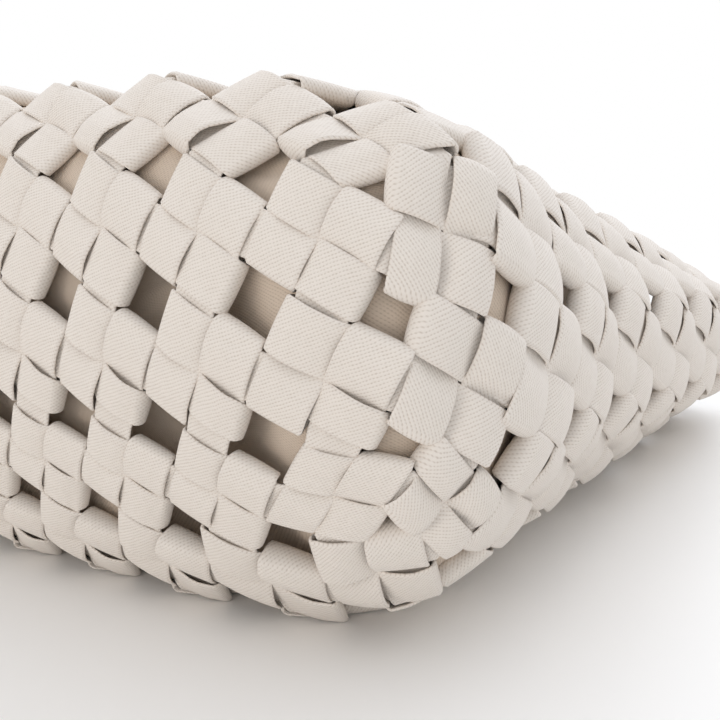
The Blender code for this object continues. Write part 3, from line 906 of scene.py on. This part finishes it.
# %% Rim band
shape = bmesh.new()
uv_layer = shape.loops.layers.uv.new("tape_mm")
lines = []
rim_outs = []
for k, point in enumerate(around):
    way = around[(k + 1) % RIM_POINTS] - around[k - 1]
    out = Vector((0, 1, 0)).cross(way).normalized()
    rim_outs.append(out)
    line = []
    for y, w in profile:
        reach = w + waver[k]
        line.append(shape.verts.new((point.x + out.x * reach, edge_line + y, point.z + out.z * reach)))
    lines.append(line)
sides = [math.dist(a, b) for a, b in zip(profile, profile[1:])]
arc = np.concatenate([[0], np.cumsum(sides)])
step_mm = (around[1] - around[0]).length / MM
for k in range(RIM_POINTS):
    m = (k + 1) % RIM_POINTS
    for i in range(len(profile)):
        j = (i + 1) % len(profile)
        face = shape.faces.new((lines[k][i], lines[m][i], lines[m][j], lines[k][j]))
        for loop, (a, b) in zip(face.loops, ((k, i), (k + 1, i), (k + 1, j), (k, j))):
            loop[uv_layer].uv = (a * step_mm, arc[b] / MM)
bmesh.ops.recalc_face_normals(shape, faces=shape.faces)
rim = from_shape("rim_binding_cloth", shape, binding_cloth)
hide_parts("rim_binding")
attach(rim, "bag")
print("rim band", round(RIM_POINTS * step_mm), "mm round the mouth")

# %% Stitches of the rim
STITCH_LENGTH, STITCH_GAP, STITCH_RADIUS, STITCH_PROUD = 2.6 * MM, 1.1 * MM, 0.28 * MM, 0.12 * MM
STITCH_ROWS = (RIM_LOW + 1.6 * MM, RIM_HIGH - 3.4 * MM)
rim_count = int(RIM_POINTS * step_mm * MM / (STITCH_LENGTH + STITCH_GAP))
at = [int(k * RIM_POINTS / rim_count) for k in range(rim_count)]
shape = bmesh.new()
for y_place in STITCH_ROWS:
    for side in (1, -1):
        reach = side * (RIM_HALF + STITCH_PROUD)
        spots = []
        for k in at:
            spot = Vector((around[k].x, edge_line + y_place, around[k].z))
            spots.append(spot + rim_outs[k] * (reach + waver[k]))
        for a, b, k in zip(spots, spots[1:], at):
            way = (b - a).normalized()
            across = (rim_outs[k] * side).cross(way).normalized()
            axes = (way * STITCH_LENGTH / 2, across * STITCH_RADIUS, way.cross(across) * STITCH_RADIUS)
            stretch = Matrix(axes).transposed()
            for vert in bmesh.ops.create_icosphere(shape, subdivisions=1, radius=1.0)["verts"]:
                vert.co = stretch @ vert.co + (a + b) / 2
rim_sewing = from_shape("rim_binding_stitches", shape, sewing_thread)
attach(rim_sewing, "bag")
print("stitches", len(STITCH_ROWS) * 2 * (rim_count - 1))

# %% [markdown]
# ## Handles
#
# Each handle is a flat plait of three narrow strands, bent into a bow. A tape folded over the rim
# holds each end. A short root of tape joins the two, bent from the rim onto the handle as the
# handle lies.

# %% Handle ends folded over the rim
BINDING_THICKNESS = 0.8 * MM
SADDLE_OUT, SADDLE_DEPTH, SADDLE_TURN, SADDLE_ABOVE = 3.0 * MM, 8.5 * MM, 1.6 * MM, 0.7 * MM
SADDLE_POINTS = 9
HANDS = {"left": -1, "right": 1}
# A handle end stands one and a half blocks from the middle of its panel.
HANDLE_BLOCKS = 1.5
HANDLE_X = abs(HANDLE_BLOCKS * (ring_points(RINGS)[COLUMNS].x - ring_points(RINGS)[COLUMNS + 1].x))
saddle_top = edge_line + RIM_TOP_ABOVE_EDGE + SADDLE_ABOVE
rim_half = ring_section(RINGS)[2]
panels = {"front": (LIFT + 2 * rim_half - RIM_INSET, 1), "back": (LIFT + RIM_INSET, -1)}
saddle_line = [(-SADDLE_DEPTH, -SADDLE_OUT, 0)]
for angle in np.linspace(0, math.pi, SADDLE_POINTS):
    saddle_line.append((-SADDLE_TURN + SADDLE_TURN * math.sin(angle), -SADDLE_OUT * math.cos(angle), angle))
saddle_line.append((-SADDLE_DEPTH, SADDLE_OUT, math.pi))
wide = Vector((TAPE_WIDTH / 2, 0, 0))
for panel, (middle, _) in panels.items():
    for hand, side in HANDS.items():
        spots = [Vector((side * HANDLE_X, saddle_top + y, middle + z)) for y, z, _ in saddle_line]
        outs = [Vector((0, math.sin(angle), -math.cos(angle))) for _, _, angle in saddle_line]
        name = f"{panel}_handle_{hand}_end"
        made = ribbon(
            name + "_cloth", spots, [wide] * len(spots), outs, False, binding_cloth,
            thickness=BINDING_THICKNESS, crown=0)
        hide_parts(name)
        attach(made, "bag")
print("handle ends", round(HANDLE_X / MM, 1), "mm from the middle")

# %% [markdown]
# Each strand sways across the handle's middle line by a sine, and its height follows a sine of
# twice that pace, so it passes over and under. Three strands a third of a turn apart make a plait.

# %% Middle line of a handle
HANDLE_LEG, HANDLE_BOW, HANDLE_WIDTH = 50 * MM, 60 * MM, 15 * MM
LEG_POINTS, BOW_POINTS, STRAND_POINTS = 12, 60, 200
line = [(-HANDLE_X, y) for y in np.linspace(0, HANDLE_LEG, LEG_POINTS)[:-1]]
for angle in np.linspace(math.pi, 0, BOW_POINTS):
    line.append((HANDLE_X * math.cos(angle), HANDLE_LEG + HANDLE_BOW * math.sin(angle)))
line += [(HANDLE_X, y) for y in np.linspace(HANDLE_LEG, 0, LEG_POINTS)[1:]]
line = np.array(line)
run = np.concatenate([[0], np.cumsum(np.hypot(*np.diff(line, axis=0).T))])
steps = np.linspace(0, run[-1], STRAND_POINTS)
middle_line = np.stack([np.interp(steps, run, part) for part in line.T], axis=1)
ahead_line = np.gradient(middle_line, axis=0)
ahead_line /= np.linalg.norm(ahead_line, axis=1)[:, None]
print("plaited length", round(float(run[-1]), 3), "m for each handle")

# %% Strands of the plait
STRANDS = 3
PLAIT_LENGTH, PLAIT_REACH, PLAIT_LIFT = 27 * MM, 4.1 * MM, 0.55 * MM
STRAND_HALF, STRAND_THICKNESS, STRAND_CROWN = 3.2 * MM, 0.8 * MM, 0.1 * MM
UPWARD = Vector((0, 0, 1))


def strand(number, pivot, turn):
    """One strand of a handle."""
    phase = 2 * math.pi * (steps / PLAIT_LENGTH + number / STRANDS)
    sway = PLAIT_REACH * np.sin(phase)
    slope = PLAIT_REACH * 2 * math.pi / PLAIT_LENGTH * np.cos(phase)
    spots, halves = [], []
    for (x, y), (ax, ay), s, d, angle in zip(middle_line, ahead_line, sway, slope, phase):
        flat = Vector((x + ay * s, y - ax * s, PLAIT_LIFT * math.sin(2 * angle)))
        way = Vector((ax + ay * d, ay - ax * d, 0)).normalized()
        spots.append(pivot + turn @ flat)
        halves.append(turn @ Vector((way.y, -way.x, 0)) * STRAND_HALF)
    outs = [turn @ UPWARD] * len(spots)
    return ribbon(
        f"strand_{number}", spots, halves, outs, False, strap_cloth,
        thickness=STRAND_THICKNESS, crown=STRAND_CROWN)


def joined(name, pieces):
    """One object from several, with their UV maps."""
    shape = bmesh.new()
    for piece in pieces:
        shape.from_mesh(piece.data)
    mesh = pieces[0].data.copy()
    shape.to_mesh(mesh)
    shape.free()
    for piece in pieces:
        bpy.data.objects.remove(piece)
    return add_object(name, mesh)


print("strands", STRANDS, "one turn of the plait", PLAIT_LENGTH / MM, "mm")

# %% [markdown]
# A root runs up the rim, over the hinge and onto its handle. A few places give its line, and a
# smooth curve through them keeps the tape from kinking.

# %% Line of a root
ROOT_OUT, ROOT_LIFT, ROOT_WIDTH = 0.9 * MM, 1.75 * MM, 0.93
# Depth below the saddle and how far the tape stands off there, then places along the handle.
ROOT_ON_RIM = ((7.6 * MM, 0.0), (4.0 * MM, 0.0), (1.5 * MM, 0.2 * MM))
ROOT_ON_HANDLE = (2.0 * MM, 5.0 * MM, 9.0 * MM, 13.0 * MM)
ROOT_POINTS, ROOT_CROWN = 24, 0.1 * MM
# The curve stops just short of its last point, so that each place has a point after it.
END_SHORT = 1.000001


def smooth_line(points, count):
    """Points on a smooth curve through a few given ones."""
    ends = [2 * points[0] - points[1]] + list(points) + [2 * points[-1] - points[-2]]
    curve = []
    for place in np.linspace(0, len(points) - END_SHORT, count):
        i, t = int(place), place % 1
        a, b, c, d = ends[i:i + 4]
        square, cube = 2 * a - 5 * b + 4 * c - d, 3 * b - a - 3 * c + d
        curve.append(0.5 * (2 * b + (c - a) * t + square * t ** 2 + cube * t ** 3))
    return curve


def root_line(x, face, outward, pivot, turn):
    """Places and outward directions of a root, from the rim to the handle."""
    path = [Vector((x, saddle_top - depth, face + outward * proud)) for depth, proud in ROOT_ON_RIM]
    lift = turn @ UPWARD * (outward * ROOT_LIFT)
    for ahead in ROOT_ON_HANDLE:
        path.append(pivot + Vector((x, 0, 0)) + turn @ Vector((0, ahead, 0)) + lift)
    path = smooth_line(path, ROOT_POINTS)
    outs = []
    for before, after in zip([path[0]] + path[:-1], path[1:] + [path[-1]]):
        outs.append(Vector((1, 0, 0)).cross(after - before).normalized() * outward)
    return path, outs


print("places in a root", ROOT_POINTS)

# %% [markdown]
# As the bag lies, the front handle droops from the upper panel to the table and the back handle
# lies flat on it. The plait rides on the handle's own body, and its roots are shaped to this pose.

# %% Make the handles
HANDLE_THICKNESS, FLOOR_GAP = 2.6 * MM, 0.3 * MM
PIVOT_AHEAD, PIVOT_OUTSIDE = 2.0 * MM, 6.0 * MM
for panel, (middle, outward) in panels.items():
    pivot = Vector((0, saddle_top + PIVOT_AHEAD, middle + outward * PIVOT_OUTSIDE))
    reach = HANDLE_LEG + HANDLE_BOW + HANDLE_WIDTH / 2
    fall = pivot.z - HANDLE_THICKNESS / 2 - FLOOR_GAP
    droop = -math.asin(fall / reach) if panel == "front" else 0.0
    turn = Matrix.Rotation(droop, 3, "X")
    strands = [strand(number, pivot, turn) for number in range(STRANDS)]
    made = joined(f"{panel}_handle_plait", strands)
    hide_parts(f"{panel}_handle")
    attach(made, f"{panel}_handle")
    face = middle + outward * (SADDLE_OUT + ROOT_OUT)
    for hand, side in HANDS.items():
        x = side * HANDLE_X
        path, outs = root_line(x, face, outward, pivot, turn)
        made = ribbon(
            f"{panel}_handle_{hand}_root", path, [wide * ROOT_WIDTH] * len(path), outs, False, binding_cloth,
            thickness=BINDING_THICKNESS, crown=ROOT_CROWN)
        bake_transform(made)
    print(panel, "handle droops", round(math.degrees(-droop), 1), "degrees")

# %% [markdown]
# ## Floor and light
#
# The bag lies on a white table in bright, soft light from above and behind. The table keeps a
# soft shadow, and away from the bag it fades to the white background. Only the camera sees that
# glow, directly or in a reflection, so it adds no light to the bag.

# %% Floor
FLOOR_SIZE = 6.0
FADE_START, FADE_END = 0.48, 0.95
FADE_FROM = (0.0, -0.25, 0.0)
WHITE = (1, 1, 1, 1)


def seen_directly(tree):
    """1 for what the camera sees, also mirrored or through glass, else 0."""
    ray = node(tree, "LightPath").outputs
    seen = ray["Is Camera Ray"]
    for other in ("Is Glossy Ray", "Is Transmission Ray"):
        seen = node(tree, "Math", operation="MAXIMUM", _0=seen, _1=ray[other])
    return seen


# White lacquer is pale, with a faint soft gloss.
lacquer, tree, shader = new_material("white_lacquered_table")
node(tree, shader, Base_Color=linear("#F3F1EE"), Roughness=0.4, Specular_IOR_Level=0.3)
place = node(tree, "TexCoord").outputs["Object"]
away = node(tree, "VectorMath", operation="DISTANCE", _0=place, _1=FADE_FROM).outputs["Value"]
share = node(
    tree, "MapRange", interpolation_type="SMOOTHSTEP",
    Value=away, From_Min=FADE_START, From_Max=FADE_END)
seen = node(tree, "Math", operation="MULTIPLY", _0=share, _1=seen_directly(tree))
glow = node(tree, "Emission", Color=WHITE, Strength=1.0)
both = node(tree, "MixShader", _0=seen, _1=shader, _2=glow)
node(tree, tree.nodes["Material Output"], Surface=both)
shape = bmesh.new()
bmesh.ops.create_grid(shape, x_segments=1, y_segments=1, size=FLOOR_SIZE / 2)
floor = from_shape("table_top", shape, lacquer)
print("table fades to white from", FADE_START, "to", FADE_END, "m")

# %% World and lamps
ROOM_STRENGTH = 0.84
# Name, place, what it points at, size in metres, watts and colour.
LAMPS = (
    ("window_above", (0.15, 0.10, 1.1), (0, -0.05, 0.05), 1.4, 5.3, "#F1F6FF"),
    ("window_behind", (-0.05, 1.1, 0.9), (0, -0.1, 0.10), 1.4, 6.8, "#EAF2FF"),
    ("room_side", (-0.4, -1.3, 0.20), (0, -0.15, 0.05), 0.5, 2.3, "#FFF4EA"),
)
world = bpy.data.worlds.new("white_room")
world.use_nodes = True
bpy.context.scene.world = world
tree = world.node_tree
room = tree.nodes["Background"]
node(tree, room, Color=linear("#F3F4F6"), Strength=ROOM_STRENGTH)
white = node(tree, "Background", Color=WHITE, Strength=1.0)
both = node(tree, "MixShader", _0=seen_directly(tree), _1=room, _2=white)
node(tree, tree.nodes["World Output"], Surface=both)
for name, at, towards, size, power, colour in LAMPS:
    lamp = bpy.data.lights.new(name, "AREA")
    lamp.size = size
    lamp.energy = power
    lamp.color = linear(colour)[:3]
    made = add_object(name, lamp)
    made.location = at
    made.rotation_euler = (Vector(towards) - Vector(at)).to_track_quat("-Z", "Y").to_euler()
bpy.context.scene.view_settings.view_transform = "Standard"
print("lamps", [lamp[0] for lamp in LAMPS])
